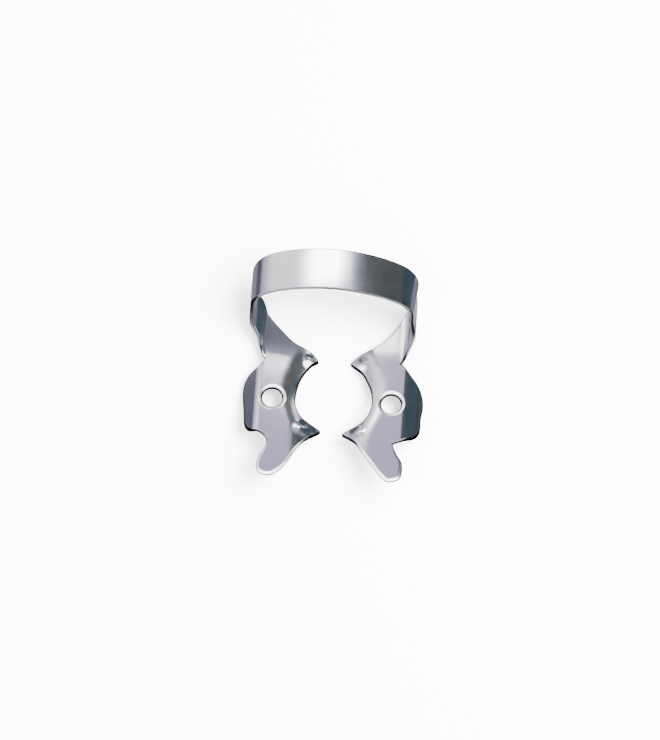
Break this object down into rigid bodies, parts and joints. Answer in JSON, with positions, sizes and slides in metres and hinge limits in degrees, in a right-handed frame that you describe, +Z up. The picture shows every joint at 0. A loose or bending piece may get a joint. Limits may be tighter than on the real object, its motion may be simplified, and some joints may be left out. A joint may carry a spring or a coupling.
{
  "type": "rubber dam clamp",
  "caption": "Winged rubber dam clamp of bent spring steel: high bow, jaws with prongs, folded wings, forceps holes and tails.",
  "frame": {"origin": "middle of the base, on the surface that it rests on", "axes": "+Z up, +Y from the tails to the bow, +X to the right jaw as seen from above with the bow at the top"},
  "size_m": [0.0218, 0.0274, 0.0103],
  "materials": {
    "spring_steel": "polished stainless steel"
  },
  "bodies": {
    "root": {"clamp": "spring_steel"}
  },
  "joints": []
}
